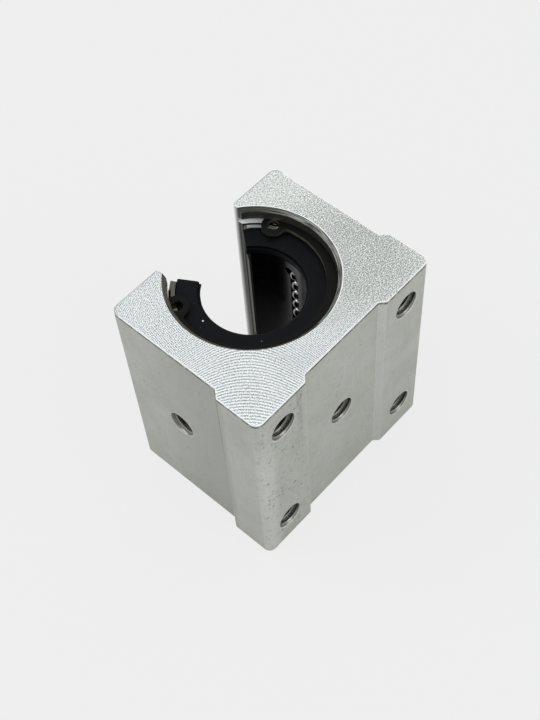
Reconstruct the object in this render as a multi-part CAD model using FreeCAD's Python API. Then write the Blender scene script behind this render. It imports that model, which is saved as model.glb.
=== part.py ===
# Open linear bearing block for a 20 mm supported shaft, in millimetres.
#
# An extruded aluminium housing holds an open linear ball bushing between two
# internal retaining rings. The bushing is a hardened steel sleeve, a moulded
# retainer with four recirculating ball circuits, and an end seal at each end.
#
# Frame: Z runs along the shaft, Y points from the mounting face to the open
# side, X goes across. The origin lies on the shaft axis in the lower end face.
# Angles round the shaft start at +Y and grow towards +X.
import FreeCAD, Part
import math
import os

V = FreeCAD.Vector
AXIS = V(0, 0, 1)
FLAT = 1e-6               # an edge's box counts as flat below this
TOUCH = 1e-4              # a point counts as on a circle within this

# ---- shaft and housing ------------------------------------------------------
shaft_d = 20.0            # guided shaft
block_length = 50.0       # along the shaft
block_width = 48.0        # across the mounting flanges
axis_height = 23.0        # mounting face to shaft axis
open_height = 14.5        # shaft axis to the open face
body_width = 45.2         # across the limbs, above the flanges
flange_height = 9.6       # straight side of a mounting flange
flange_slope = 1.5        # height of the slanted step onto the body
recess_width = 20.4       # shallow channel between the two mounting pads
recess_depth = 1.15
corner_r = 1.6            # outer corners of the extrusion
channel_r = 0.5           # root and shoulder of the channel
bore_d = 32.0             # seat of the bushing
bore_chamfer = 0.8
mouth_width = 20.6        # straight walls of the open side
tip_r = 0.6               # limb tips

# ---- threaded holes ---------------------------------------------------------
mount_pitch_x = 35.0
mount_pitch_z = 35.0
mount_thread_d = 6.0
mount_thread_depth = 12.0
centre_thread_d = 6.0     # lubrication hole through the mounting face
side_thread_d = 6.0       # clamping hole through the left limb
through_drill_d = 5.0     # tapping drill, goes on through to the seat
thread_runout = 1.0       # left untapped in front of the seat
hole_chamfer = 0.12
drill_point_angle = 118.0

# ---- retaining rings --------------------------------------------------------
ring_thickness = 1.2
ring_band = 3.1           # radial width opposite the gap
ring_band_end = 1.6       # radial width beside the lugs
ring_groove_depth = 0.85
ring_gap_half_angle = 61.0
ring_turn = 2.0           # how far the rings sit round from the open side
lug_d = 4.6
lug_hole_d = 2.5
lug_inset = 2.05          # lug centre inside the groove's wall
lug_fillet = 1.0

# ---- bushing ----------------------------------------------------------------
bushing_length = 42.0
bushing_turn = 4.6        # the bushing sits turned by this much in its seat
sleeve_wall = 1.25        # at the ball return pockets
sleeve_chamfer = 0.45
cut_angle = 60.0          # between the two cut faces of sleeve and retainer
cut_width = 18.78         # width of the cut at the outside of the sleeve
cut_corner_r = 0.9        # rounded end corners of the cut sleeve
seal_thickness = 2.6
seal_half_angle = 35.3    # half of the seal's own opening
seal_bore_margin = 0.45   # seal opening outside the shaft
seal_lip_margin = 0.06    # lip tip outside the shaft
seal_lip_depth = 0.75     # lip below the seal's outer face
seal_lip_thickness = 0.55
seal_bevel = 0.25         # broken edges of the outer face
retainer_margin = 0.4     # retainer bore outside the shaft
retainer_flange = 0.75    # retainer in front of the balls' turns

# ---- ball circuits ----------------------------------------------------------
ball_d = 2.778
ball_gap = 0.042          # between neighbouring balls in a turn
row_spacing = 59.7        # between load rows, round the shaft
land_half_width = 1.3     # raceway beside a load row, towards the return pocket
pocket_wall = 0.7         # retainer wall beside the return row

# ---- fits and clearances ----------------------------------------------------
seat_fit = 0.025          # sleeve in the housing bore, radial
ring_fit = 0.05           # ring in its groove, axial and radial
seal_fit = 0.03           # seal and retainer collars in the sleeve, radial
end_gap = 0.05            # between seal and retainer, axial
track_clearance = 0.08    # round a ball in its track
lobe_fit = 0.05           # retainer lobes in the sleeve's pockets

# ---- worked out from the sizes above ----------------------------------------
mid_z = block_length / 2
bushing_top = mid_z + bushing_length / 2
shaft_r = shaft_d / 2
bore_r = bore_d / 2
groove_r = bore_r + ring_groove_depth
groove_width = ring_thickness + 2 * ring_fit
ball_r = ball_d / 2
track_r = ball_r + track_clearance
sleeve_r = bore_r - seat_fit
pocket_r = bore_r - sleeve_wall
retainer_r = shaft_r + retainer_margin

# A turn carries three balls over half a circle, 60 degrees apart, so their
# spacing equals its radius. The same arc length is the pitch in the rows.
BALLS_IN_TURN = 3
turn_r = ball_d + ball_gap
pitch = math.pi * turn_r / BALLS_IN_TURN
end_depth = seal_thickness + end_gap + retainer_flange
room_for_row = bushing_length - 2 * (end_depth + turn_r + track_r)
balls_in_row = int(room_for_row / pitch)
row_half = balls_in_row * pitch / 2

load_r = shaft_r + ball_r
return_r = pocket_r - track_r
land_r = load_r + track_r
row_angle = math.degrees(math.acos(
    (load_r ** 2 + return_r ** 2 - (2 * turn_r) ** 2) / (2 * load_r * return_r)))


def polar(radius, angle, z=0.0):
    """A point round the shaft: angle in degrees from +Y towards +X."""
    a = math.radians(angle)
    return V(radius * math.sin(a), radius * math.cos(a), z)


def tube(r_out, r_in, z0, z1):
    height = z1 - z0
    outer = Part.makeCylinder(r_out, height, V(0, 0, z0))
    return outer.cut(Part.makeCylinder(r_in, height, V(0, 0, z0)))


def sector(r_out, r_in, angle0, angle1, z0, z1):
    """A ring segment between two angles."""
    reach = 2 * r_out
    middle = (angle0 + angle1) / 2
    wedge = prism([V(0, 0, 0), polar(reach, angle0), polar(reach, middle), polar(reach, angle1)], z0, z1)
    return tube(r_out, r_in, z0, z1).common(wedge)


def prism(points, z0, z1):
    face = Part.Face(Part.makePolygon(points + [points[0]]))
    face.translate(V(0, 0, z0))
    return face.extrude(V(0, 0, z1 - z0))


def revolved(points):
    """A ring about the shaft axis from its (radius, z) outline."""
    outline = [V(r, 0, z) for r, z in points]
    face = Part.Face(Part.makePolygon(outline + [outline[0]]))
    return face.revolve(V(0, 0, 0), AXIS, 360)


def mirrored_ends(shape):
    """The same shape at the other end of the block."""
    return shape.mirror(V(0, 0, mid_z), AXIS)


def turned(shape, angle):
    """Turned round the shaft, from +Y towards +X."""
    copy = shape.copy()
    copy.rotate(V(0, 0, 0), AXIS, -angle)
    return copy


def upright_edges(shape, x, y):
    """Edges along Z that stand at (x, y)."""
    found = []
    for edge in shape.Edges:
        box = edge.BoundBox
        upright = box.XLength < FLAT and box.YLength < FLAT and box.ZLength > TOUCH
        if upright and math.hypot(box.XMin - x, box.YMin - y) < TOUCH:
            found.append(edge)
    return found


# ---- housing ----------------------------------------------------------------
def housing_outline():
    """Half of the extrusion's outline, on the +X side, from the channel up: x, y, corner radius."""
    half_channel = recess_width / 2
    step_top = -axis_height + flange_height + flange_slope
    return [
        (half_channel, -axis_height + recess_depth, channel_r),
        (half_channel + recess_depth, -axis_height, channel_r),
        (block_width / 2, -axis_height, corner_r),
        (block_width / 2, -axis_height + flange_height, channel_r),
        (body_width / 2, step_top, channel_r),
        (body_width / 2, open_height, corner_r),
    ]


def make_housing():
    half = housing_outline()
    outline = [V(x, y, 0) for x, y, _ in half]
    outline += [V(-x, y, 0) for x, y, _ in reversed(half)]
    block = prism(outline, 0, block_length)
    for sign in (-1, 1):
        for x, y, radius in half:
            block = block.makeFillet(radius, upright_edges(block, sign * x, y))
    mouth = Part.makeBox(mouth_width, 2 * open_height, block_length, V(-mouth_width / 2, 0, 0))
    block = block.cut(mouth)
    for sign in (-1, 1):
        tip = upright_edges(block, sign * mouth_width / 2, open_height)
        block = block.makeFillet(tip_r, tip)
    block = block.cut(Part.makeCylinder(bore_r, block_length))
    block = block.cut(bore_ends())
    for cutter in threaded_holes():
        block = block.cut(cutter)
    return block


def bore_ends():
    """The chamfer and the ring groove, at both ends of the bore."""
    chamfer = revolved([(0, block_length), (bore_r + bore_chamfer, block_length),
                        (bore_r, block_length - bore_chamfer), (0, block_length - bore_chamfer)])
    groove = tube(groove_r, bore_r / 2, bushing_top, bushing_top + groove_width)
    top = Part.makeCompound([chamfer, groove])
    return Part.makeCompound([top, mirrored_ends(top)])


def hole(diameter, profile_end):
    """A tapped hole along +Y from the origin, closed by the given end of its profile."""
    r = diameter / 2
    profile = [(0, 0), (r + hole_chamfer, 0), (r, hole_chamfer)] + profile_end
    outline = [V(x, y, 0) for x, y in profile]
    face = Part.Face(Part.makePolygon(outline + [outline[0]]))
    return face.revolve(V(0, 0, 0), V(0, 1, 0), 360)


def blind_hole(diameter, depth):
    """A tapped hole that ends in a drill point."""
    r = diameter / 2
    point = r / math.tan(math.radians(drill_point_angle / 2))
    return hole(diameter, [(r, depth), (0, depth + point)])


def through_hole(diameter, surface):
    """A tapped hole from a face at this distance from the axis into the seat of the bushing."""
    r = diameter / 2
    drill_r = through_drill_d / 2
    tapped = surface - bore_r - thread_runout
    return hole(diameter, [(r, tapped), (drill_r, tapped + r - drill_r), (drill_r, surface), (0, surface)])


def threaded_holes():
    """Cutters for the four mounting holes, the centre hole and the side hole."""
    cutters = []
    for x in (-mount_pitch_x / 2, mount_pitch_x / 2):
        for z in (mid_z - mount_pitch_z / 2, mid_z + mount_pitch_z / 2):
            mount = blind_hole(mount_thread_d, mount_thread_depth)
            mount.translate(V(x, -axis_height, z))
            cutters.append(mount)
    channel_floor = axis_height - recess_depth
    centre = through_hole(centre_thread_d, channel_floor)
    centre.translate(V(0, -channel_floor, mid_z))
    cutters.append(centre)
    side = through_hole(side_thread_d, body_width / 2)
    side.rotate(V(0, 0, 0), AXIS, -90)
    side.translate(V(-body_width / 2, 0, mid_z))
    cutters.append(side)
    return cutters


# ---- bushing: sleeve, retainer and balls ------------------------------------
class Circuit:
    """One closed loop of balls, in a plane parallel to the shaft.

    Its load row touches the shaft, its return row runs in the sleeve's pocket,
    and a half-circle joins them at each end.
    """

    def __init__(self, load_angle, side):
        self.load_angle = side * load_angle
        self.return_angle = side * (load_angle - row_angle)
        self.side = side
        self.load = polar(load_r, self.load_angle)
        self.back = polar(return_r, self.return_angle)
        self.across = (self.back - self.load) / (2 * turn_r)
        self.centre = (self.load + self.back) / 2
        self.hinge = AXIS.cross(self.across)

    def row(self, point):
        """Centres of the balls in a straight row."""
        first = mid_z - row_half + pitch / 2
        return [point + V(0, 0, first + k * pitch) for k in range(balls_in_row)]

    def turn(self, up):
        """Centres of the balls in the turn at the top (up = 1) or bottom (-1)."""
        centres = []
        for k in range(BALLS_IN_TURN):
            a = math.pi * (k + 0.5) / BALLS_IN_TURN
            along = self.across * (-math.cos(a) * turn_r)
            rise = up * (row_half + math.sin(a) * turn_r)
            centres.append(self.centre + along + V(0, 0, mid_z + rise))
        return centres

    def track(self):
        """The space the balls run in: two straight bores and two half-rings."""
        low = mid_z - row_half
        high = mid_z + row_half
        pieces = [Part.makeCylinder(track_r, 2 * row_half, p + V(0, 0, low)) for p in (self.load, self.back)]
        for z, sweep in ((high, 180), (low, -180)):
            ring = Part.Wire(Part.makeCircle(track_r, self.load + V(0, 0, z), AXIS))
            pieces.append(Part.Face(ring).revolve(self.centre + V(0, 0, z), self.hinge, sweep))
        return pieces[0].fuse(pieces[1:])

    def pocket_angles(self, shrink):
        """Angles that bound the return pocket, drawn in by shrink in mm."""
        start = self.load + self.across * (land_half_width + shrink)
        load_edge = self.side * math.degrees(math.atan2(start.x, start.y))
        half = track_r + pocket_wall - shrink
        far_edge = abs(self.return_angle) - math.degrees(math.asin(half / return_r))
        return self.side * far_edge, self.side * load_edge


def load_angles():
    return (180 - 1.5 * row_spacing, 180 - 0.5 * row_spacing)


circuits = [Circuit(angle, side) for side in (1, -1) for angle in load_angles()]


def cut_wedge(back_off, z0, z1):
    """The opening cut into sleeve and retainer, widened by back_off."""
    half_angle = math.radians(cut_angle / 2)
    half_width = cut_width / 2
    edge_y = math.sqrt(sleeve_r ** 2 - half_width ** 2)
    apex_y = edge_y - half_width / math.tan(half_angle) - back_off / math.sin(half_angle)
    top_y = 2 * sleeve_r
    reach = (top_y - apex_y) * math.tan(half_angle)
    return prism([V(0, apex_y, 0), V(reach, top_y, 0), V(-reach, top_y, 0)], z0, z1)


def make_sleeve():
    low = mid_z - bushing_length / 2
    sleeve = tube(sleeve_r, land_r, low, bushing_top)
    chamfer = revolved([(sleeve_r, bushing_top), (sleeve_r - sleeve_chamfer, bushing_top),
                        (sleeve_r, bushing_top - sleeve_chamfer)])
    seat = tube(pocket_r, land_r / 2, mid_z + row_half, bushing_top)
    for cutter in (chamfer, seat):
        sleeve = sleeve.cut(cutter).cut(mirrored_ends(cutter))
    for loop in circuits:
        a, b = loop.pocket_angles(0)
        sleeve = sleeve.cut(sector(pocket_r, land_r / 2, a, b, low, bushing_top))
    sleeve = sleeve.cut(cut_wedge(0, low, bushing_top))
    return round_cut_corners(sleeve)


def round_cut_corners(sleeve):
    """Rounds the four end corners of the cut, seen square to the cut faces."""
    for sign in (-1, 1):
        for z in (mid_z - bushing_length / 2, bushing_top):
            corner = [e for e in sleeve.Edges if on_cut_end(e, sign, z)]
            sleeve = sleeve.makeFillet(cut_corner_r, corner)
    return sleeve


def on_cut_end(edge, sign, z):
    """True for the edge where a cut face meets an end face."""
    box = edge.BoundBox
    middle = box.Center
    flat = abs(middle.z - z) < FLAT and box.ZLength < FLAT
    straight = edge.Curve.TypeId == "Part::GeomLine"
    return flat and straight and middle.x * sign > 0 and middle.y > 0


def make_retainer():
    low = mid_z - bushing_length / 2 + seal_thickness + end_gap
    high = bushing_top - seal_thickness - end_gap
    body = tube(land_r - lobe_fit, retainer_r, low, high)
    collar = tube(pocket_r - seal_fit, retainer_r, mid_z + row_half + end_gap, high)
    body = body.fuse([collar, mirrored_ends(collar)])
    for loop in circuits:
        a, b = loop.pocket_angles(lobe_fit)
        body = body.fuse(sector(pocket_r - seal_fit, retainer_r, a, b, low, high))
    body = body.cut(cut_wedge(lobe_fit, low, high))
    for loop in circuits:
        body = body.cut(loop.track())
    return body.removeSplitter()


def make_seal():
    """The upper end seal: a ring with a wiping lip, cut at the open side."""
    top = bushing_top
    bottom = top - seal_thickness
    outer = pocket_r - seal_fit
    inner = shaft_r + seal_bore_margin
    lip = shaft_r + seal_lip_margin
    lip_top = top - seal_lip_depth
    lip_bottom = lip_top - seal_lip_thickness
    ring = revolved([
        (inner + seal_bevel, top), (outer - seal_bevel, top), (outer, top - seal_bevel), (outer, bottom),
        (inner, bottom), (inner, lip_bottom), (lip, lip_top - seal_lip_thickness / 2),
        (lip, lip_top), (inner, lip_top), (inner, top - seal_bevel)])
    return ring.cut(sector(bore_r, shaft_r / 2, -seal_half_angle, seal_half_angle, bottom, top))


# ---- retaining rings --------------------------------------------------------
def make_ring():
    """The upper retaining ring: an eccentric band with two eyes."""
    outer = groove_r - ring_fit
    z0 = bushing_top + ring_fit
    z1 = z0 + ring_thickness
    thin = outer - ring_band_end
    thick = outer - ring_band
    inner = (thin + thick) / 2
    shift = (thin - thick) / 2
    lug_r = groove_r - lug_inset
    disc = Part.makeCylinder(outer, ring_thickness, V(0, 0, z0))
    hole = Part.makeCylinder(inner, ring_thickness, V(0, shift, z0))
    reach = 2 * outer
    gap = prism([V(0, 0, 0), polar(reach, -ring_gap_half_angle), polar(reach, 0),
                 polar(reach, ring_gap_half_angle)], z0, z1)
    band = disc.cut(hole).cut(gap)
    for sign in (-1, 1):
        centre = polar(lug_r, sign * ring_gap_half_angle, z0)
        eye = Part.makeCylinder(lug_d / 2, ring_thickness, centre).common(disc)
        band = band.fuse(eye)
    band = band.removeSplitter()
    band = fillet_lug_roots(band, lug_r, inner, shift)
    for sign in (-1, 1):
        centre = polar(lug_r, sign * ring_gap_half_angle, z0)
        band = band.cut(Part.makeCylinder(lug_hole_d / 2, ring_thickness, centre))
    return band


def fillet_lug_roots(band, lug_r, inner, shift):
    """Rounds the inside corners where the eyes join the band."""
    for sign in (-1, 1):
        eye = polar(lug_r, sign * ring_gap_half_angle)
        roots = []
        for edge in band.Edges:
            box = edge.BoundBox
            point = V(box.XMin, box.YMin, 0)
            upright = box.XLength < FLAT and box.YLength < FLAT
            on_eye = abs(point.distanceToPoint(eye) - lug_d / 2) < TOUCH
            on_band = abs(point.distanceToPoint(V(0, shift, 0)) - inner) < TOUCH
            if upright and on_eye and on_band:
                roots.append(edge)
        band = band.makeFillet(lug_fillet, roots)
    return band


# ---- every node -------------------------------------------------------------
def balls(centres):
    return Part.makeCompound([Part.makeSphere(ball_r, c) for c in centres])


def build():
    seal = turned(make_seal(), bushing_turn)
    ring = turned(make_ring(), ring_turn)
    nodes = {
        "housing": make_housing(),
        "outer_sleeve": turned(make_sleeve(), bushing_turn),
        "ball_retainer": turned(make_retainer(), bushing_turn),
        "end_seal_top": seal,
        "end_seal_bottom": mirrored_ends(seal),
        "retaining_ring_top": ring,
        "retaining_ring_bottom": mirrored_ends(ring),
    }
    for number, loop in enumerate(circuits, start=1):
        groups = {
            "load_row": loop.row(loop.load),
            "return_row": loop.row(loop.back),
            "turn_top": loop.turn(1),
            "turn_bottom": loop.turn(-1),
        }
        for name, centres in groups.items():
            nodes[f"ball_{name}_{number}"] = turned(balls(centres), bushing_turn)
    return nodes


os.makedirs("parts", exist_ok=True)
for name, shape in build().items():
    shape.exportStep(f"parts/{name}.step")
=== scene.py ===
"""Looks of an open linear bearing block: milled aluminium housing, ball bushing, circlips and balls."""

import math

import bmesh
import bpy
from mathutils import Matrix, Vector


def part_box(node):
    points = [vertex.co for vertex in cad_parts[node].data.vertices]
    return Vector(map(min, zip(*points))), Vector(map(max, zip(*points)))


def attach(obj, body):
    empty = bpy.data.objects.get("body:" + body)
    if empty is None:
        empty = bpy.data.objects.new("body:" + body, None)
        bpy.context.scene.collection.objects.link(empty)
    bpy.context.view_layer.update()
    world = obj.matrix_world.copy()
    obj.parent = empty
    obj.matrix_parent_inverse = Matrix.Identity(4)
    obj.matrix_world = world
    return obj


MM = 0.001

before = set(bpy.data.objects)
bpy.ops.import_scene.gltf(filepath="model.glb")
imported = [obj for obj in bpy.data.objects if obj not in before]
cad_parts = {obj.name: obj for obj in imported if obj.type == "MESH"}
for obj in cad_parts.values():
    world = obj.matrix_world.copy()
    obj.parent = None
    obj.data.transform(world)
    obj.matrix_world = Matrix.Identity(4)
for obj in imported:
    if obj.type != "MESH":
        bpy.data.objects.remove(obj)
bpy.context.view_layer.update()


# ---------------------------------------------------------------- node helpers

EDGE_SAMPLES = 6
EDGE_TURN = (0.998, 0.96)     # cosine between the rounded and the flat normal, off an edge and on it


class Shader:
    """A small builder for one procedural material. Its x, y, z are the piece's own, in mm."""

    def __init__(self, name):
        self.mat = bpy.data.materials.new(name)
        self.mat.use_nodes = True
        self.tree = self.mat.node_tree
        self.tree.nodes.clear()
        self.out = self.node("ShaderNodeOutputMaterial")
        coord = self.node("ShaderNodeTexCoord")
        self.mm = self.scaled(coord.outputs["Object"], 1 / MM)
        self.x, self.y, self.z = self.split(self.mm)
        self.nx, self.ny, self.nz = self.split(coord.outputs["Normal"])

    def node(self, kind, **values):
        made = self.tree.nodes.new(kind)
        for key, value in values.items():
            setattr(made, key, value)
        return made

    def feed(self, socket, value):
        """Link a socket to an output, or set it to a constant."""
        if isinstance(value, bpy.types.NodeSocket):
            self.tree.links.new(value, socket)
        elif value is not None:
            socket.default_value = value

    def split(self, vector):
        made = self.node("ShaderNodeSeparateXYZ")
        self.feed(made.inputs[0], vector)
        return made.outputs[0], made.outputs[1], made.outputs[2]

    def join(self, x, y, z):
        made = self.node("ShaderNodeCombineXYZ")
        for socket, value in zip(made.inputs, (x, y, z)):
            self.feed(socket, value)
        return made.outputs[0]

    def vmath(self, operation, a, b=None):
        made = self.node("ShaderNodeVectorMath", operation=operation)
        self.feed(made.inputs[0], a)
        self.feed(made.inputs[1], b)
        if operation in ("LENGTH", "DISTANCE", "DOT_PRODUCT"):
            return made.outputs["Value"]
        return made.outputs["Vector"]

    def scaled(self, vector, scale):
        made = self.node("ShaderNodeVectorMath", operation="SCALE")
        self.feed(made.inputs[0], vector)
        self.feed(made.inputs["Scale"], scale)
        return made.outputs["Vector"]

    def math(self, operation, a, b=None, c=None, clamp=False):
        made = self.node("ShaderNodeMath", operation=operation, use_clamp=clamp)
        for socket, value in zip(made.inputs, (a, b, c)):
            self.feed(socket, value)
        return made.outputs[0]

    def absolute(self, value):
        return self.math("ABSOLUTE", value)

    def minus(self, a, b, clamp=False):
        return self.math("SUBTRACT", a, b, clamp=clamp)

    def from_middle(self):
        """Distance along the shaft from the middle of the part."""
        return self.absolute(self.minus(self.z, MIDDLE))

    def times(self, *values):
        made = values[0]
        for value in values[1:]:
            made = self.math("MULTIPLY", made, value)
        return made

    def plus(self, *values):
        made = values[0]
        for value in values[1:]:
            made = self.math("ADD", made, value)
        return made

    def step(self, value, low, high):
        """0 below low, 1 above high, smooth between; swap the two for a falling step."""
        made = self.node("ShaderNodeMapRange", interpolation_type="SMOOTHSTEP", clamp=True)
        falls = low > high
        self.feed(made.inputs["Value"], value)
        self.feed(made.inputs["From Min"], min(low, high))
        self.feed(made.inputs["From Max"], max(low, high))
        self.feed(made.inputs["To Min"], 1.0 if falls else 0.0)
        self.feed(made.inputs["To Max"], 0.0 if falls else 1.0)
        return made.outputs[0]

    def band(self, value, low, high, soft):
        """1 between low and high, falling to 0 over soft outside them."""
        return self.times(self.step(value, low - soft, low), self.step(value, high + soft, high))

    def noise(self, scale, detail=3.0, rough=0.55, vector=None, distortion=0.0, output="Fac"):
        """Noise of about one blob per 1/scale millimetre, 0..1; the output Color has three at once."""
        made = self.node("ShaderNodeTexNoise")
        self.feed(made.inputs["Vector"], vector or self.mm)
        self.feed(made.inputs["Scale"], scale)
        self.feed(made.inputs["Detail"], detail)
        self.feed(made.inputs["Roughness"], rough)
        self.feed(made.inputs["Distortion"], distortion)
        return made.outputs[output]

    def grain(self, scale, detail, rough=0.55):
        """Noise about zero."""
        return self.minus(self.noise(scale, detail, rough), 0.5)

    def cells(self, scale, vector=None):
        """Distance to the nearest of scattered points, and the colour drawn for that point."""
        made = self.node("ShaderNodeTexVoronoi")
        self.feed(made.inputs["Vector"], vector or self.mm)
        self.feed(made.inputs["Scale"], scale)
        return made.outputs["Distance"], made.outputs["Color"]

    def wave(self, value, phase=None):
        """Sine of the value with period 1, 0..1."""
        turned = self.math("MULTIPLY", value, 2 * math.pi)
        if phase is not None:
            turned = self.plus(turned, phase)
        return self.math("MULTIPLY_ADD", self.math("SINE", turned), 0.5, 0.5)

    def either(self, data_type, factor, a, b):
        made = self.node("ShaderNodeMix", data_type=data_type)
        self.feed(made.inputs["Factor"], factor)
        self.feed(made.inputs["A"], a)
        self.feed(made.inputs["B"], b)
        return made.outputs["Result"]

    def mix(self, factor, a, b):
        """A colour between a, at factor 0, and b, at factor 1."""
        return self.either("RGBA", factor, a, b)

    def blend(self, factor, a, b):
        """A number between a, at factor 0, and b, at factor 1."""
        return self.either("FLOAT", factor, a, b)

    def edges(self, reach_mm):
        """1 on a sharp edge, 0 further from it than the reach."""
        made = self.node("ShaderNodeBevel", samples=EDGE_SAMPLES)
        self.feed(made.inputs["Radius"], reach_mm * MM)
        flat = self.node("ShaderNodeNewGeometry")
        turned = self.vmath("DOT_PRODUCT", made.outputs["Normal"], flat.outputs["Normal"])
        return self.step(turned, *EDGE_TURN)

    def bump(self, height, distance_mm, strength):
        made = self.node("ShaderNodeBump")
        self.feed(made.inputs["Strength"], strength)
        self.feed(made.inputs["Distance"], distance_mm * MM)
        self.feed(made.inputs["Height"], height)
        return made.outputs["Normal"]

    def finish(self, colour, roughness, metallic, normal, specular=None):
        made = self.node("ShaderNodeBsdfPrincipled")
        self.feed(made.inputs["Base Color"], colour)
        self.feed(made.inputs["Roughness"], roughness)
        self.feed(made.inputs["Metallic"], metallic)
        self.feed(made.inputs["Specular IOR Level"], specular)
        self.feed(made.inputs["Normal"], normal)
        self.tree.links.new(made.outputs[0], self.out.inputs["Surface"])
        return self.mat


def linear(level):
    """Linear light, 0..1, of a display level, 0..255."""
    return ((level / 255 + 0.055) / 1.055) ** 2.4 if level > 10 else level / 255 / 12.92


def rgb(red, green, blue):
    """Opaque colour from display levels."""
    return (linear(red), linear(green), linear(blue), 1.0)


# ---------------------------------------------------------------- sizes in mm

# Z runs along the shaft, +Y to the open side, and the origin is on the axis.

housing_low, housing_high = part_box("housing")
END_Z = housing_high.z / MM
MIDDLE = END_Z / 2
BASE_Y = housing_low.y / MM
CHANNEL_Y = BASE_Y + 1.15       # floor of the channel between the feet
STEP_Y = -11.9                  # top of the slanted step from a flange to the body
MOUTH_Y = 12.2                  # foot of the mouth's flat walls
TIP_Y = 14.4                    # just under the tips of the limbs
SIDE_X = -22.6                  # side of the left limb
BORE_R = 16.0
CHAMFER_R = 16.8                # the bore's chamfer where it meets an end face
OUTSIDE_R = (17.5, 18.0)        # between these the bore's edges give way to the outer ones
SCREW_SPACING = 35.0


# ---------------------------------------------------------------- housing

def cutter_lines(s, flat, feed_x, feed_y, ridges=0.0, centre=(0.0, 0.0), waver=None):
    """Milling marks, 0..1: ridges per mm round a centre, plus the feed's ridges per mm along x and y."""
    cycles = s.plus(
        s.times(ridges, s.vmath("DISTANCE", flat, (*centre, 0.0))),
        s.times(feed_x, s.x),
        s.times(feed_y, s.y),
    )
    return s.wave(cycles, waver)


def milled_relief(s, flat):
    """Relief of the end faces about zero, and the grain in it.

    Fine arcs left by a face cutter, plainest on the flanges and lost in torn grain on one side.
    """
    left, right = s.step(s.x, -10.0, -13.0), s.step(s.x, 8.0, 12.0)
    on_limb = s.times(s.step(s.y, -3.0, 0.0), left)
    on_tip = s.times(s.step(s.y, 5.5, 8.0), left)
    on_back = s.times(right, s.step(s.y, -4.0, 2.0))
    torn = s.times(s.step(s.x, 2.0, 11.0), s.step(s.y, 9.0, -3.0))

    waver = s.times(1.6, s.noise(0.6, detail=2.0))
    front_arcs = cutter_lines(s, flat, 4.364, 3.733, ridges=4.14, centre=(5.3, 4.7), waver=waver)
    back_arcs = cutter_lines(s, flat, 2.41, 2.26, ridges=-2.42, centre=(4.5, 2.3), waver=waver)
    tip_lines = cutter_lines(s, flat, 0.9, -2.5, waver=waver)
    limb_lines = s.blend(0.35, cutter_lines(s, flat, 2.7, -0.6), cutter_lines(s, flat, 0.7, 2.6))
    lines = s.blend(on_limb, front_arcs, limb_lines)
    lines = s.blend(on_tip, lines, tip_lines)
    lines = s.blend(on_back, lines, back_arcs)

    plain = s.plus(
        s.times(0.55, on_tip),
        s.times(on_back, s.step(s.y, 1.0, 9.0), 0.78),
        s.times(0.35, on_back),
    )
    unbroken = s.blend(s.step(s.noise(1.1, rough=0.6), 0.36, 0.6), 0.6, 1.0)
    line_depth = s.times(
        s.blend(on_limb, s.blend(torn, 0.85, 0.14), 1.35),
        unbroken,
        s.minus(1.0, plain, clamp=True),
    )
    coarse_grain = s.grain(2.9, detail=4.0, rough=0.75)
    fine_grain = s.grain(4.6, detail=2.0, rough=0.7)
    grain = s.plus(s.times(0.7, coarse_grain), s.times(1.5, fine_grain))
    # painted glints: scattered bright sparkles, added to the relief and so to the end faces' colour
    spark_distance, _ = s.cells(2.3)
    glint = s.math("POWER", s.step(spark_distance, 0.6, 0.0), 3.0)
    relief = s.plus(
        s.times(line_depth, s.minus(lines, 0.5)),
        s.times(s.blend(torn, 2.2, 3.0), grain),
        s.times(s.blend(torn, 0.12, 0.6), s.minus(glint, 0.1)),
        s.times(on_back, 1.6, coarse_grain),
        s.times(on_limb, 1.6, fine_grain),
        s.times(0.2, s.grain(0.12, detail=2.0)),
    )
    return relief, grain


def end_face_colour(s, flat, radius, edge, relief):
    """Light on the ridges and dark in the marks, with painted shade towards the right front and painted
    highlights on the burr, the ledges and the edges, which are partly worn.
    """
    # painted light and shade: a little lighter on the left, and a broad painted shadow round (14, -11)
    shade = s.plus(
        0.59,
        s.times(0.03, s.step(s.x, -8.0, -16.0)),
        s.times(-0.20, s.step(s.vmath("DISTANCE", flat, (14.0, -11.0, 0.0)), 20.0, 5.0)),
    )
    level = s.math("ADD", shade, relief, clamp=True)
    # painted highlight: a bright line on the burr beside the bore chamfer, on the right only
    burr_highlight = s.times(s.band(radius, CHAMFER_R + 0.02, CHAMFER_R + 0.14, 0.05), s.step(s.x, -2.0, 7.0))
    level = s.blend(burr_highlight, level, 1.0)
    # painted highlight: these lower faces painted nearly white
    ledge_highlight = s.step(s.from_middle(), 23.5, 22.5)     # faces along the shaft that lie below the end faces
    level = s.math("MAXIMUM", level, s.times(0.97, ledge_highlight))
    outer_edge = s.times(edge, s.step(radius, *OUTSIDE_R))
    on_limb_top = s.step(s.y, 12.0, 13.0)
    # outer edges bright in patches: partly wear, partly a painted edge highlight
    worn_and_highlit_edge = s.times(outer_edge, s.step(s.noise(1.3), 0.34, 0.42), s.minus(1.0, on_limb_top))
    level = s.blend(worn_and_highlit_edge, level, 1.0)
    level = s.blend(s.times(outer_edge, on_limb_top, 0.8), level, 0.15)
    in_marks = s.mix(s.step(s.x, -8.0, 12.0), rgb(118, 128, 134), rgb(124, 129, 122))
    on_ridges = s.mix(s.step(s.noise(1.1, detail=2.0), 0.35, 0.65), rgb(250, 250, 254), rgb(246, 254, 249))
    return s.mix(level, in_marks, on_ridges)


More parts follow.
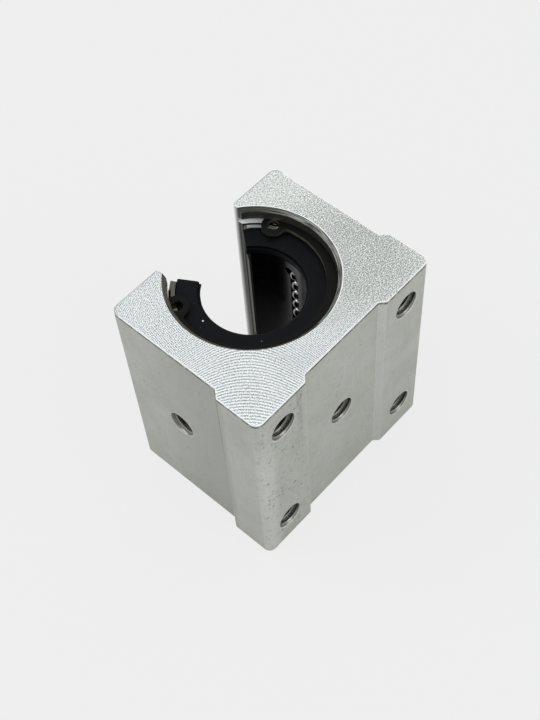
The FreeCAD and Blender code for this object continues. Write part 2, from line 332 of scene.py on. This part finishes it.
def side_colour(s, radius, edge):
    """Extruded sides: satin, with handling marks, dirt, painted shade and painted highlights. The specks
    and the streaks come with it.
    """
    facing_side, facing_base = s.absolute(s.nx), s.absolute(s.ny)
    off_centre = s.absolute(s.x)
    on_foot = s.times(s.step(s.y, BASE_Y + 1.5, BASE_Y + 0.5), s.step(s.x, -9.0, -15.0))

    # the metal itself, with painted shade down the sides
    streaks = s.noise(2.2, rough=0.6, vector=s.join(s.x, s.y, s.times(s.z, 0.05)))
    stains = s.noise(0.13, detail=4.0, rough=0.6, distortion=0.6)
    satin = s.mix(s.step(stains, 0.3, 0.75), rgb(177, 179, 173), rgb(167, 169, 162))
    # painted shade: the sides facing along x darker towards the flange
    above_flange = s.times(s.step(facing_side, 0.7, 0.9), s.step(s.y, -15.0, -13.5))
    satin = s.mix(s.times(above_flange, s.step(s.y, 9.0, -8.0), 0.8), satin, rgb(158, 160, 154))
    satin = s.mix(s.times(0.10, s.step(streaks, 0.3, 0.75)), satin, rgb(130, 131, 124))
    fine = s.noise(5.0, rough=0.6)
    satin = s.mix(s.times(0.12, s.step(fine, 0.42, 0.7)), satin, rgb(140, 141, 134))

    # flange corner with a painted highlight down its rounding, seam above the flange, step of the channel
    # with painted light on its slanted walls, and its grimy lip
    at_corner = s.times(s.step(s.x, -19.0, -22.2), s.step(s.y, -19.0, -21.6))
    # painted highlight: a light band down the rounded flange corner, fading out near the upper end face
    corner_highlight = s.times(at_corner, s.step(s.ny, 0.1, -0.3), s.step(s.z, 49.0, 34.0))
    satin = s.mix(s.times(corner_highlight, 0.42), satin, rgb(206, 207, 203))
    at_step = s.band(s.y, STEP_Y - 0.5, STEP_Y + 0.3, 0.2)
    seam = s.times(s.step(off_centre, 22.0, 22.4), at_step, s.step(s.z, 12.0, 40.0))
    satin = s.mix(s.times(seam, 0.8), satin, rgb(118, 122, 114))
    slanted = s.times(s.band(facing_side, 0.3, 0.93, 0.05), s.band(facing_base, 0.3, 0.93, 0.05))
    channel_wall = s.times(slanted, s.step(off_centre, 21.0, 20.5))
    # painted light: the slanted walls of the channel step painted lighter
    satin = s.mix(s.times(channel_wall, 0.85), satin, rgb(190, 192, 187))
    near_lip = s.times(s.band(s.x, -13.6, -12.6, 0.5), s.step(s.y, -18.0, -20.0), s.step(s.z, 18.0, 48.0))
    grime = s.step(s.noise(1.3, detail=4.0, rough=0.7), 0.4, 0.6)
    satin = s.mix(s.times(near_lip, grime, 0.55), satin, rgb(112, 114, 106))

    # dirt, thickest on the left foot: smudges, then dust, then specks
    soiled = s.step(s.noise(0.22, rough=0.6), 0.4, 0.62)
    smudged = s.plus(0.1, s.times(0.16, soiled), s.times(0.2, on_foot))
    smudges = s.times(s.step(s.noise(0.9, detail=4.0, rough=0.7), 0.5, 0.68), smudged)
    satin = s.mix(smudges, satin, rgb(128, 130, 120))
    dusty = s.plus(0.16, s.times(0.25, soiled), s.times(0.6, on_foot))
    dust = s.times(s.step(s.noise(3.0, rough=0.65), 0.56, 0.7), dusty)
    satin = s.mix(s.times(dust, 0.6), satin, rgb(100, 100, 92))
    torn_outline = s.scaled(s.noise(1.9, detail=2.0, rough=0.5, output="Color"), 1.6)
    distance, drawn = s.cells(1.1, vector=s.vmath("ADD", s.mm, torn_outline))
    chosen, size, _ = s.split(drawn)
    spot = s.step(s.minus(s.times(0.46, size), distance), 0.0, 0.1)
    scattered = s.times(0.3, s.step(s.noise(0.3, detail=2.0), 0.5, 0.56))
    density = s.math("MAXIMUM", s.times(0.85, on_foot), scattered)
    specks = s.times(spot, s.step(chosen, 0.74, 0.78), density)
    satin = s.mix(s.times(specks, 0.85), satin, rgb(72, 72, 64))

    # worn edges, lightened in patches as wear and as a painted edge highlight, and a broken dark line just
    # under the upper end face
    worn = s.noise(0.9, rough=0.6)
    wear_and_edge_highlight = s.blend(s.step(off_centre, 14.5, 18.5), 0.2, 0.6)
    satin = s.mix(s.times(edge, wear_and_edge_highlight, s.step(worn, 0.35, 0.6)), satin, rgb(214, 215, 211))
    ragged_z = s.plus(s.z, s.times(0.5, s.grain(2.2, detail=3.0, rough=0.7)))
    chips = s.times(s.band(ragged_z, END_Z - 0.62, END_Z - 0.34, 0.1), s.step(radius, *OUTSIDE_R))
    satin = s.mix(s.times(chips, 0.95, s.step(worn, 0.62, 0.5)), satin, rgb(46, 46, 42))
    return satin, specks, streaks


def mouth_wall_colour(s):
    """Painted reflection bright at the tips, fading towards the bore, and painted shade darker higher up.
    """
    # painted shade: the wall darker towards the upper end
    shaded_wall = s.mix(s.step(s.z, 44.0, 4.0), rgb(34, 35, 32), rgb(108, 110, 104))
    return s.mix(s.step(s.y, MOUTH_Y + 0.7, TIP_Y), shaded_wall, rgb(250, 251, 250))


def bore_colours(s):
    """Boring-bar rings on a bore painted dark as shade, the rough chamfer at its mouth with painted light
    and shade round it, and the torn strokes of that chamfer.
    """
    rings = s.noise(1.6, detail=2.0, rough=0.5, vector=s.join(s.times(s.x, 0.1), s.times(s.y, 0.1), s.z))
    # painted shade: the bore wall painted dark, with the boring-bar rings in it
    bored_and_shaded = s.mix(rings, rgb(40, 40, 37), rgb(72, 71, 66))
    angle = s.math("ARCTAN2", s.x, s.y)
    along_strokes = s.join(s.times(angle, 4.0), s.times(s.z, 7.0), 0.0)
    strokes = s.noise(1.0, detail=4.0, rough=0.65, vector=along_strokes)
    # painted light and shade round the chamfer: mid-grey towards -x, dark towards +y, light towards +x
    chamfer_light_and_shade = s.mix(s.step(angle, 0.0, 0.3), rgb(104, 101, 90), rgb(72, 73, 66))
    chamfer_light_and_shade = s.mix(s.step(angle, 0.8, 1.5), chamfer_light_and_shade, rgb(152, 154, 147))
    cut = s.mix(s.step(strokes, 0.36, 0.64), rgb(26, 25, 22), chamfer_light_and_shade)
    return bored_and_shaded, cut, strokes


def housing_material():
    s = Shader("housing_aluminium")
    flat = s.join(s.x, s.y, 0.0)
    radius = s.vmath("LENGTH", flat)
    edge = s.edges(0.55)

    facing_end, facing_side = s.absolute(s.nz), s.absolute(s.nx)
    end = s.step(facing_end, 0.92, 0.985)
    chamfer = s.times(s.band(facing_end, 0.25, 0.9, 0.05), s.step(radius, CHAMFER_R + 0.2, CHAMFER_R))
    bore = s.times(s.step(facing_end, 0.25, 0.2), s.step(radius, BORE_R + 0.4, BORE_R + 0.2))
    mouth = s.times(
        s.step(facing_side, 0.9, 0.97),
        s.step(s.absolute(s.x), 12.0, 11.0),
        s.step(s.y, 11.0, 11.6),
    )

    relief, grain = milled_relief(s, flat)
    satin, specks, streaks = side_colour(s, radius, edge)
    bored_and_shaded, cut, strokes = bore_colours(s)

    colour = s.mix(mouth, satin, mouth_wall_colour(s))
    colour = s.mix(bore, colour, bored_and_shaded)
    colour = s.mix(chamfer, colour, cut)
    colour = s.mix(end, colour, end_face_colour(s, flat, radius, edge, relief))
    rough = s.blend(bore, s.blend(chamfer, 0.5, 0.4), 0.28)
    rough = s.blend(end, rough, s.minus(0.4, s.times(grain, 0.2)))
    height = s.plus(
        s.times(end, relief, 0.35),
        s.times(s.minus(1.0, end), s.times(0.25, streaks)),
        s.times(chamfer, strokes, 1.5),
        s.times(-0.8, specks),
        s.times(0.12, s.noise(6.0, detail=2.0)),
    )
    return s.finish(colour, rough, 0.4, s.bump(height, 0.05, 0.7))


# ---------------------------------------------------------------- the other materials

def steel_material():
    """Ground and hardened sleeve: a painted highlight on its ends towards +x, and painted shade down its
    cut faces.
    """
    s = Shader("sleeve_steel")
    facing_end = s.absolute(s.nz)
    end = s.step(facing_end, 0.9, 0.98)
    cut = s.times(
        s.step(s.absolute(s.nx), 0.55, 0.7),
        s.step(s.y, 8.0, 9.0),
        s.step(facing_end, 0.2, 0.1),
    )
    mottled = s.noise(0.7, detail=4.0, rough=0.6)
    turned = s.noise(3.0, rough=0.6, vector=s.join(s.times(s.x, 0.2), s.times(s.y, 0.2), s.z))
    colour = s.mix(mottled, rgb(66, 67, 62), rgb(92, 93, 86))
    # painted shade down the cut faces, darkest at the upper end
    cut_shade = s.mix(s.step(s.z, 40.0, 8.0), rgb(32, 34, 31), rgb(54, 56, 52))
    colour = s.mix(cut, colour, cut_shade)
    # painted highlight: the ends grey on the -x side, nearly white towards +x
    ends_with_highlight = s.mix(s.step(s.x, 0.0, 6.0), rgb(98, 98, 88), rgb(246, 248, 248))
    colour = s.mix(end, colour, ends_with_highlight)
    rough = s.blend(end, s.blend(mottled, 0.26, 0.4), 0.16)
    normal = s.bump(s.plus(turned, s.times(0.5, mottled)), 0.006, 0.5)
    return s.finish(colour, s.blend(cut, rough, 0.5), s.blend(cut, 0.9, 0.1), normal)


def plastic_material():
    """Moulded black retainer: glossy, but matt and barely shining on its faces to the open side."""
    s = Shader("retainer_plastic")
    cloud = s.noise(0.5, detail=4.0, rough=0.6)
    fine = s.noise(8.0, rough=0.6)
    open_faces = s.times(s.step(s.ny, 0.3, 0.45), s.step(s.y, 5.0, 6.0))
    colour = s.mix(cloud, rgb(1, 1, 1), rgb(2, 3, 3))
    rough = s.blend(open_faces, s.blend(cloud, 0.14, 0.24), 1.0)
    normal = s.bump(s.plus(fine, s.times(2.0, cloud)), 0.003, 0.5)
    return s.finish(colour, rough, 0.0, normal, specular=s.blend(open_faces, 0.26, 0.04))


def rubber_material():
    """Moulded black seal with a dull oily skin, fine dust and a few larger pale grains."""
    s = Shader("seal_rubber")
    cloud = s.noise(0.35, detail=4.0, rough=0.6)
    fine = s.noise(5.5, detail=4.0, rough=0.65)
    colour = s.mix(cloud, rgb(2, 3, 6), rgb(5, 7, 11))
    grains = ((-11.5, 2.1, 0.22, 225), (-7.9, -9.3, 0.14, 130), (-12.9, 1.4, 0.1, 90), (-9.6, 6.2, 0.1, 70))
    for x, y, radius, level in grains:
        distance = s.vmath("LENGTH", s.join(s.minus(s.x, x), s.minus(s.y, y), 0.0))
        colour = s.mix(s.step(distance, radius, radius / 2), colour, rgb(level, level, level))
    dust = s.step(s.noise(3.1, detail=2.0, rough=0.5), 0.72, 0.78)
    colour = s.mix(s.times(dust, 0.3), colour, rgb(110, 112, 114))
    normal = s.bump(s.plus(fine, s.times(0.6, cloud)), 0.02, 0.6)
    return s.finish(colour, s.blend(cloud, 0.42, 0.6), 0.0, normal, specular=0.12)


def ring_material():
    """Spring steel circlip: phosphated black faces, and a painted brown-grey highlight along the rim of its
    walls nearest the end of the part.
    """
    s = Shader("ring_steel")
    face = s.step(s.absolute(s.nz), 0.7, 0.95)
    cloud = s.noise(0.8, detail=4.0, rough=0.6)
    fine = s.noise(7.0, rough=0.6)
    black = s.mix(cloud, rgb(10, 10, 9), rgb(18, 18, 16))
    black = s.mix(s.step(fine, 0.64, 0.82), black, rgb(48, 50, 50))
    # painted highlight: brown-grey along the rim of the walls nearest the end of the part, strongest at low
    # y
    rim = s.times(s.step(s.from_middle(), 21.3, 21.6), s.blend(s.step(s.y, 5.5, 2.0), 0.35, 1.0))
    lit_rim = s.mix(s.times(rim, s.noise(1.6), 1.6), rgb(10, 10, 9), rgb(98, 97, 88))
    colour = s.mix(face, lit_rim, black)
    normal = s.bump(s.plus(fine, cloud), 0.014, 0.7)
    return s.finish(colour, s.blend(cloud, 0.3, 0.48), 0.3, normal, specular=0.14)


def ball_material():
    """Polished bearing steel under a thin smear of oil."""
    s = Shader("ball_steel")
    smear = s.noise(1.6, rough=0.6)
    colour = s.mix(smear, rgb(112, 113, 114), rgb(158, 158, 158))
    return s.finish(colour, s.blend(smear, 0.07, 0.16), 1.0, s.bump(smear, 0.004, 0.3))


LOOKS = {
    "housing_aluminium": housing_material(),
    "sleeve_steel": steel_material(),
    "retainer_plastic": plastic_material(),
    "seal_rubber": rubber_material(),
    "ring_steel": ring_material(),
    "ball_steel": ball_material(),
}
WEARS = {
    "housing": "housing_aluminium",
    "outer_sleeve": "sleeve_steel",
    "ball_retainer": "retainer_plastic",
    "end_seal_top": "seal_rubber",
    "end_seal_bottom": "seal_rubber",
    "retaining_ring_top": "ring_steel",
    "retaining_ring_bottom": "ring_steel",
}
for name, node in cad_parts.items():
    look = LOOKS[WEARS.get(name, "ball_steel")]
    if not node.data.materials:
        node.data.materials.append(look)
    for index in range(len(node.data.materials)):
        node.data.materials[index] = look


# ---------------------------------------------------------------- threads in the holes

THREAD_R = 3.0
ROOT_R = THREAD_R + 0.02    # the roots lie just behind the wall of the hole
CREST_R = 2.5
THREAD_PITCH = 1.0
THREAD_START = 0.35         # middle of the ridge where it begins, from the mouth of the hole
NEAREST = 0.12              # no part of the ridge is nearer to the mouth
TURN_STEPS = 40
RUN_OUT = 0.6 * TURN_STEPS  # steps over which the ridge grows at its start and fades at its end
RIDGE = ((-0.5, 0.0), (-0.1, 1.0), (0.1, 1.0), (0.5, 0.0))  # section: pitches along the hole, height
RIDGE_WIDTH = 0.98          # share of the pitch that the section takes
LIT_DEPTH = 4.4             # from here on next to no light comes down the hole


def thread_material():
    """Cut aluminium, as bright as the mesh says in its attribute "light"."""
    s = Shader("thread_cut")
    light = s.node("ShaderNodeAttribute", attribute_name="light").outputs["Fac"]
    mottled = s.noise(2.2, detail=4.0, rough=0.65)
    crest = s.mix(mottled, rgb(136, 135, 129), rgb(186, 186, 180))
    colour = s.mix(light, rgb(12, 12, 11), crest)
    return s.finish(colour, s.blend(mottled, 0.2, 0.36), 0.8, s.bump(mottled, 0.012, 0.5))


def thread_light(height, depth, above_axis):
    """Brightest on the crests, near the mouth and on the lower side of the hole."""
    lower = min(1.0, max(0.0, 0.5 - 0.6 * above_axis / THREAD_R))
    return (0.4 + 0.6 * height) * (0.1 + 0.9 * lower) * max(0.03, 1.0 - depth / LIT_DEPTH)


CUT = thread_material()


def thread(name, mouth, inward, length):
    """A ridge that winds down a hole: roots on the wall, crests further in, run out at both ends."""
    inward = Vector(inward).normalized()
    across = inward.orthogonal().normalized()
    third = inward.cross(across)
    last = int((length - THREAD_START) / THREAD_PITCH * TURN_STEPS)
    mesh = bmesh.new()
    light = mesh.verts.layers.float.new("light")
    rows = []
    for i in range(last + 1):
        angle = 2 * math.pi * i / TURN_STEPS
        outward = across * math.cos(angle) + third * math.sin(angle)
        grown = min(1.0, i / RUN_OUT, (last - i) / RUN_OUT)
        row = []
        for offset, height in RIDGE:
            radius = ROOT_R - (ROOT_R - CREST_R) * height * grown
            depth = THREAD_START + THREAD_PITCH * (i / TURN_STEPS + offset * RIDGE_WIDTH)
            depth = max(depth, NEAREST)
            place = Vector(mouth) + inward * depth + outward * radius
            made = mesh.verts.new(place * MM)
            made[light] = thread_light(height, depth, place.z - mouth[2])
            row.append(made)
        rows.append(row)
    for one, two in zip(rows, rows[1:]):
        for j in range(len(RIDGE) - 1):
            mesh.faces.new((one[j], one[j + 1], two[j + 1], two[j]))
    bmesh.ops.recalc_face_normals(mesh, faces=mesh.faces)
    data = bpy.data.meshes.new(name)
    mesh.to_mesh(data)
    mesh.free()
    data.materials.append(CUT)
    piece = bpy.data.objects.new(name, data)
    bpy.context.collection.objects.link(piece)
    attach(piece, "block")


for i, (sx, sz) in enumerate(((-1, -1), (1, -1), (-1, 1), (1, 1))):
    mouth = (sx * SCREW_SPACING / 2, BASE_Y, MIDDLE + sz * SCREW_SPACING / 2)
    thread(f"mount_thread_{i + 1}", mouth, (0, 1, 0), 11.6)
thread("centre_thread", (0, CHANNEL_Y, MIDDLE), (0, 1, 0), 4.7)
thread("side_thread", (SIDE_X, 0, MIDDLE), (1, 0, 0), 5.4)


# ---------------------------------------------------------------- stage: floor, world, lamps

BACKDROP = rgb(239, 239, 239)       # floor and world, as the camera sees them
FLOOR_PAINT = rgb(222, 222, 222)    # what takes the shadow, and what lights the part from below
FLOOR_FLAT = 0.9                    # share of the floor's look that is plain backdrop; the rest is shadow
FLOOR_SIZE = 3.0                    # m
FLOOR_GAP = 0.0002                  # m, under the part
WORLD_LIGHT = 0.9
LAMP_AIM = (0, 0, 0.03)             # m


def empty_tree(owner):
    """The node tree of a material or a world, with nothing in it."""
    owner.use_nodes = True
    owner.node_tree.nodes.clear()
    return owner.node_tree


def seen_by(tree, *kinds):
    """1 for rays of these kinds, 0 for the others."""
    rays = tree.nodes.new("ShaderNodeLightPath")
    seen = rays.outputs[f"Is {kinds[-1]} Ray"]
    for kind in reversed(kinds[:-1]):
        either = tree.nodes.new("ShaderNodeMath")
        either.operation = "MAXIMUM"
        tree.links.new(rays.outputs[f"Is {kind} Ray"], either.inputs[0])
        tree.links.new(seen, either.inputs[1])
        seen = either.outputs[0]
    return seen


def output_mix(tree, output, factor, lit, shown):
    """Send lit to the output at factor 0, and shown at factor 1."""
    mixed = tree.nodes.new("ShaderNodeMixShader")
    tree.links.new(factor, mixed.inputs["Fac"])
    tree.links.new(lit.outputs[0], mixed.inputs[1])
    tree.links.new(shown.outputs[0], mixed.inputs[2])
    tree.links.new(mixed.outputs[0], tree.nodes.new(output).inputs["Surface"])


def floor_material():
    """Backdrop with a faint shadow to the camera, pale paint to every other ray."""
    mat = bpy.data.materials.new("pale_floor")
    tree = empty_tree(mat)
    lit = tree.nodes.new("ShaderNodeBsdfDiffuse")
    lit.inputs["Color"].default_value = FLOOR_PAINT
    shown = tree.nodes.new("ShaderNodeEmission")
    shown.inputs["Color"].default_value = BACKDROP
    share = tree.nodes.new("ShaderNodeMath")
    share.operation = "MULTIPLY"
    tree.links.new(seen_by(tree, "Camera", "Transmission"), share.inputs[0])
    share.inputs[1].default_value = FLOOR_FLAT
    output_mix(tree, "ShaderNodeOutputMaterial", share.outputs[0], lit, shown)
    return mat


def stage_floor():
    mesh = bmesh.new()
    bmesh.ops.create_grid(mesh, x_segments=2, y_segments=2, size=FLOOR_SIZE)
    data = bpy.data.meshes.new("floor")
    mesh.to_mesh(data)
    mesh.free()
    data.materials.append(floor_material())
    floor = bpy.data.objects.new("floor", data)
    floor.location.z = housing_low.z - FLOOR_GAP
    bpy.context.collection.objects.link(floor)


def studio_world():
    """Backdrop to the camera and in reflections, white light on everything else."""
    world = bpy.data.worlds.new("studio")
    bpy.context.scene.world = world
    tree = empty_tree(world)
    lit = tree.nodes.new("ShaderNodeBackground")
    lit.inputs["Color"].default_value = (1.0, 1.0, 1.0, 1.0)
    lit.inputs["Strength"].default_value = WORLD_LIGHT
    shown = tree.nodes.new("ShaderNodeBackground")
    shown.inputs["Color"].default_value = BACKDROP
    shown.inputs["Strength"].default_value = 1.0
    seen = seen_by(tree, "Camera", "Glossy", "Transmission")
    output_mix(tree, "ShaderNodeOutputWorld", seen, lit, shown)


def softbox(name, place, side, power):
    """A square lamp that looks at the part."""
    data = bpy.data.lights.new(name, "AREA")
    data.shape = "RECTANGLE"
    data.size = data.size_y = side
    data.energy = power
    lamp = bpy.data.objects.new(name, data)
    lamp.location = place
    lamp.rotation_euler = (Vector(LAMP_AIM) - Vector(place)).to_track_quat("-Z", "Y").to_euler()
    bpy.context.collection.objects.link(lamp)


stage_floor()
studio_world()
softbox("top_softbox", (-0.30, 0.35, 0.60), side=0.35, power=1.2)
softbox("front_softbox", (0.10, -0.60, 0.30), side=0.4, power=0.9)


# ---------------------------------------------------------------- camera

CAMERA_PLACE = (-96.003, -102.203, 230.041)     # mm
CAMERA_TURN = (                                 # its right, its up and its back
    (0.66252325, -0.74811258, -0.03728955),
    (0.64838966, 0.54786032, 0.52862077),
    (-0.37503839, -0.37440171, 0.84803866),
)

camera_data = bpy.data.cameras.new("camera")
camera_data.sensor_width = 36.0
camera_data.lens = 61.29
camera_data.shift_x = -0.0208
camera_data.shift_y = 0.0556
camera_data.clip_start = 0.01
camera = bpy.data.objects.new("camera", camera_data)
turn = Matrix(CAMERA_TURN).transposed().to_4x4()
camera.matrix_world = Matrix.Translation(Vector(CAMERA_PLACE) * MM) @ turn
bpy.context.collection.objects.link(camera)
bpy.context.scene.camera = camera
bpy.context.scene.view_settings.view_transform = "Standard"
